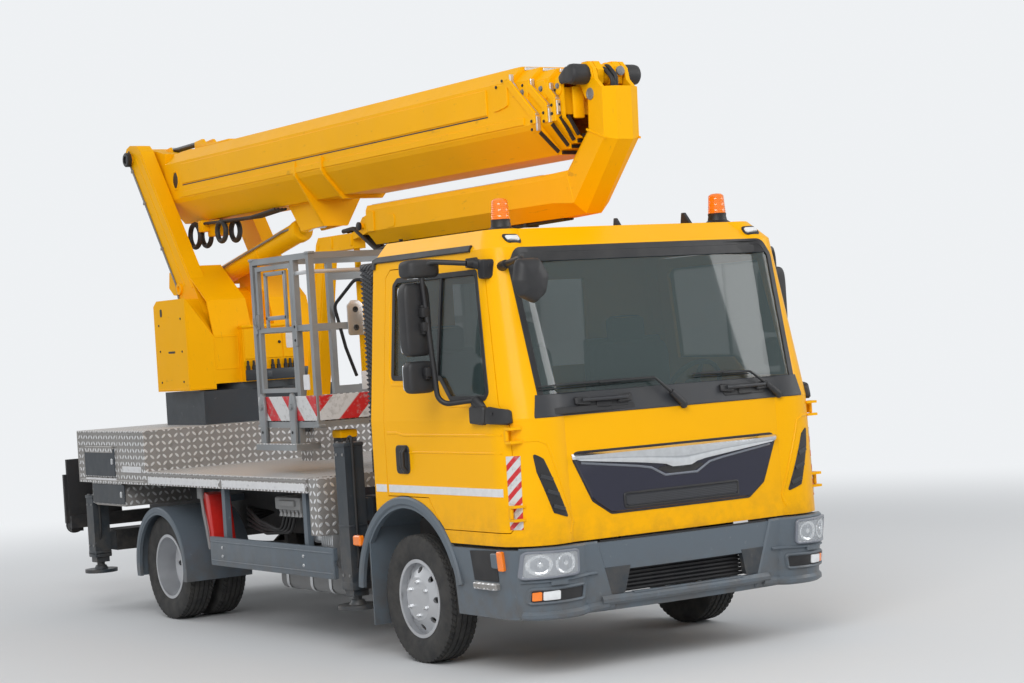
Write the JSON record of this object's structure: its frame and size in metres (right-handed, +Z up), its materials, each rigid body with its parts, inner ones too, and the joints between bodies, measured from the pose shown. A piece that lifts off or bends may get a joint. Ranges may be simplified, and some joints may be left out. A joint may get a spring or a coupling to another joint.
{
  "type": "cherry picker truck",
  "caption": "Forward-control truck with outriggers, slewing telescopic boom, folded jib and a railed work basket stowed over the deck behind the cab.",
  "frame": {"origin": "on the ground, at the middle of the overall length and width in the travel pose", "axes": "the front faces -Y, +Z is up, the vehicle's right side is -X"},
  "size_m": [2.8, 6.88, 3.6449],
  "materials": {
    "yellow_paint": "gloss",
    "slate_paint": "satin",
    "chassis_paint": "satin",
    "guard_paint": "gloss",
    "rim_paint": "gloss",
    "basket_alloy": "brushed",
    "checker_plate": "checker",
    "rod_chrome": "polished",
    "steel_grey": "machined",
    "cast_block": "cast",
    "tyre_black": "matte",
    "trim_black": "grained",
    "seat_grey": "woven",
    "lamp_clear": "clear",
    "window_glass": "clear",
    "beacon_amber": "gloss"
  },
  "bodies": {
    "truck": {"chassis": "chassis_paint", "axles": "chassis_paint", "leaf_springs": "chassis_paint", "engine": "cast_block", "side_tanks": "steel_grey", "side_guards": "guard_paint", "deck": "checker_plate", "rear_box": "checker_plate", "rear_bar": "chassis_paint", "mudguards": "guard_paint", "cab_shell": "yellow_paint", "cab_glass": "window_glass", "cab_interior": "seat_grey", "front_trim": "trim_black", "bumper": "guard_paint", "headlamps": "lamp_clear", "beacons": "beacon_amber", "front_mirror": "trim_black", "air_intake": "trim_black", "pedestal": "yellow_paint"},
    "turntable": {"turntable": "yellow_paint", "side_cover": "yellow_paint"},
    "boom_base": {"boom_section_1": "yellow_paint"},
    "boom_second": {"boom_section_2": "yellow_paint"},
    "boom_third": {"boom_section_3": "yellow_paint"},
    "boom_fourth": {"boom_section_4": "yellow_paint"},
    "jib": {"jib": "yellow_paint"},
    "carrier": {"basket_carrier": "slate_paint"},
    "basket": {"basket_frame": "basket_alloy", "basket_floor": "basket_alloy", "control_console": "trim_black"},
    "gate": {"basket_gate": "basket_alloy"},
    "lift_barrel": {"lift_barrel": "slate_paint"},
    "lift_rod": {"lift_rod": "rod_chrome"},
    "knuckle_right": {"knuckle_right": "chassis_paint"},
    "front_wheel_right": {"front_tyre_right": "tyre_black", "front_rim_right": "rim_paint"},
    "rear_wheels_right": {"rear_tyres_right": "tyre_black", "rear_rims_right": "rim_paint"},
    "cab_door_right": {"door_right": "yellow_paint", "door_glass_right": "window_glass", "mirror_right": "trim_black"},
    "locker_lid_right": {"locker_door_right": "checker_plate"},
    "knuckle_left": {"knuckle_left": "chassis_paint"},
    "front_wheel_left": {"front_tyre_left": "tyre_black", "front_rim_left": "rim_paint"},
    "rear_wheels_left": {"rear_tyres_left": "tyre_black", "rear_rims_left": "rim_paint"},
    "cab_door_left": {"door_left": "yellow_paint", "door_glass_left": "window_glass", "mirror_left": "trim_black"},
    "locker_lid_left": {"locker_door_left": "checker_plate"},
    "outrigger_front_right": {"outrigger_front_right": "slate_paint"},
    "jack_front_right": {"jack_front_right": "slate_paint"},
    "outrigger_front_left": {"outrigger_front_left": "slate_paint"},
    "jack_front_left": {"jack_front_left": "slate_paint"},
    "outrigger_rear_right": {"outrigger_rear_right": "slate_paint"},
    "jack_rear_right": {"jack_rear_right": "slate_paint"},
    "outrigger_rear_left": {"outrigger_rear_left": "slate_paint"},
    "jack_rear_left": {"jack_rear_left": "slate_paint"}
  },
  "joints": [
    {"name": "steer_right", "type": "hinge", "parent": "truck", "child": "knuckle_right", "pos_m": [-0.85, -2.02, 0.3835], "axis": [0, 0, 1], "range_deg": [-37, 37]},
    {"name": "front_wheel_right_spin", "type": "hinge", "parent": "knuckle_right", "child": "front_wheel_right", "pos_m": [-0.974, -2.02, 0.3835], "axis": [1, 0, 0], "continuous": true},
    {"name": "rear_wheels_right_spin", "type": "hinge", "parent": "truck", "child": "rear_wheels_right", "pos_m": [-0.838, 1.58, 0.3835], "axis": [1, 0, 0], "continuous": true},
    {"name": "cab_door_right_hinge", "type": "hinge", "parent": "truck", "child": "cab_door_right", "pos_m": [-1.096, -3.15, 1.2], "axis": [0, 0, 1], "range_deg": [0, 65]},
    {"name": "locker_lid_right_hinge", "type": "hinge", "parent": "truck", "child": "locker_lid_right", "pos_m": [-1.1563, 2.53, 1.262], "axis": [0, 1, 0], "range_deg": [0, 90]},
    {"name": "steer_left", "type": "hinge", "parent": "truck", "child": "knuckle_left", "pos_m": [0.85, -2.02, 0.3835], "axis": [0, 0, 1], "range_deg": [-37, 37]},
    {"name": "front_wheel_left_spin", "type": "hinge", "parent": "knuckle_left", "child": "front_wheel_left", "pos_m": [0.974, -2.02, 0.3835], "axis": [1, 0, 0], "continuous": true},
    {"name": "rear_wheels_left_spin", "type": "hinge", "parent": "truck", "child": "rear_wheels_left", "pos_m": [0.838, 1.58, 0.3835], "axis": [1, 0, 0], "continuous": true},
    {"name": "cab_door_left_hinge", "type": "hinge", "parent": "truck", "child": "cab_door_left", "pos_m": [1.096, -3.15, 1.2], "axis": [0, 0, -1], "range_deg": [0, 65]},
    {"name": "locker_lid_left_hinge", "type": "hinge", "parent": "truck", "child": "locker_lid_left", "pos_m": [1.1563, 2.53, 1.262], "axis": [0, -1, 0], "range_deg": [0, 90]},
    {"name": "outrigger_front_right_out", "type": "slide", "parent": "truck", "child": "outrigger_front_right", "axis": [-1, 0, 0], "range_m": [0, 0.7]},
    {"name": "jack_front_right_down", "type": "slide", "parent": "outrigger_front_right", "child": "jack_front_right", "axis": [0, 0, -1], "range_m": [0, 0.28]},
    {"name": "outrigger_front_left_out", "type": "slide", "parent": "truck", "child": "outrigger_front_left", "axis": [1, 0, 0], "range_m": [0, 0.7]},
    {"name": "jack_front_left_down", "type": "slide", "parent": "outrigger_front_left", "child": "jack_front_left", "axis": [0, 0, -1], "range_m": [0, 0.28]},
    {"name": "outrigger_rear_right_out", "type": "slide", "parent": "truck", "child": "outrigger_rear_right", "axis": [-1, 0, 0], "range_m": [0, 0.7]},
    {"name": "jack_rear_right_down", "type": "slide", "parent": "outrigger_rear_right", "child": "jack_rear_right", "axis": [0, 0, -1], "range_m": [0, 0.28]},
    {"name": "outrigger_rear_left_out", "type": "slide", "parent": "truck", "child": "outrigger_rear_left", "axis": [1, 0, 0], "range_m": [0, 0.7]},
    {"name": "jack_rear_left_down", "type": "slide", "parent": "outrigger_rear_left", "child": "jack_rear_left", "axis": [0, 0, -1], "range_m": [0, 0.28]},
    {"name": "slew", "type": "hinge", "parent": "truck", "child": "turntable", "pos_m": [0, 2.23, 1.69], "axis": [0, 0, 1], "range_deg": [-225, 225]},
    {"name": "boom_lift", "type": "hinge", "parent": "turntable", "child": "boom_base", "pos_m": [0, 3.23, 3.53], "axis": [-1, 0, 0], "range_deg": [0, 75]},
    {"name": "boom_second_out", "type": "slide", "parent": "boom_base", "child": "boom_second", "axis": [0, -1, 0], "range_m": [0, 3.9]},
    {"name": "boom_third_out", "type": "slide", "parent": "boom_second", "child": "boom_third", "axis": [0, -1, 0], "range_m": [0, 3.9]},
    {"name": "boom_fourth_out", "type": "slide", "parent": "boom_third", "child": "boom_fourth", "axis": [0, -1, 0], "range_m": [0, 3.9]},
    {"name": "jib_fold", "type": "hinge", "parent": "boom_fourth", "child": "jib", "pos_m": [0, -2.75, 3.42], "axis": [-1, 0, 0], "range_deg": [0, 180]},
    {"name": "basket_level", "type": "hinge", "parent": "jib", "child": "carrier", "pos_m": [0, 0.08, 2.74], "axis": [-1, 0, 0], "range_deg": [-260, 10]},
    {"name": "basket_turn", "type": "hinge", "parent": "carrier", "child": "basket", "pos_m": [0, 0.36, 1.6], "axis": [0, 0, -1], "range_deg": [-90, 90]},
    {"name": "gate_swing", "type": "hinge", "parent": "basket", "child": "gate", "pos_m": [-0.88, -0.303, 1.6], "axis": [0, 0, -1], "range_deg": [0, 80]},
    {"name": "lift_barrel_tilt", "type": "hinge", "parent": "turntable", "child": "lift_barrel", "pos_m": [0, 2.7, 2.5], "axis": [-1, 0, 0], "range_deg": [0, 80]},
    {"name": "lift_rod_out", "type": "slide", "parent": "lift_barrel", "child": "lift_rod", "axis": [0, -0.982, 0.1886], "range_m": [0, 1.4]}
  ],
  "couplings": [
    {"joint": "steer_left", "follows": "steer_right", "ratio": 1},
    {"joint": "boom_second_out", "follows": "boom_lift", "m_per_rad": 0.5},
    {"joint": "boom_third_out", "follows": "boom_lift", "m_per_rad": 0.5},
    {"joint": "boom_fourth_out", "follows": "boom_lift", "m_per_rad": 0.5},
    {"joint": "jib_fold", "follows": "boom_lift", "ratio": 0.4},
    {"joint": "basket_level", "follows": "boom_lift", "ratio": -1.4},
    {"joint": "lift_barrel_tilt", "follows": "boom_lift", "ratio": 0.88},
    {"joint": "lift_rod_out", "follows": "boom_lift", "m_per_rad": 1.04}
  ]
}
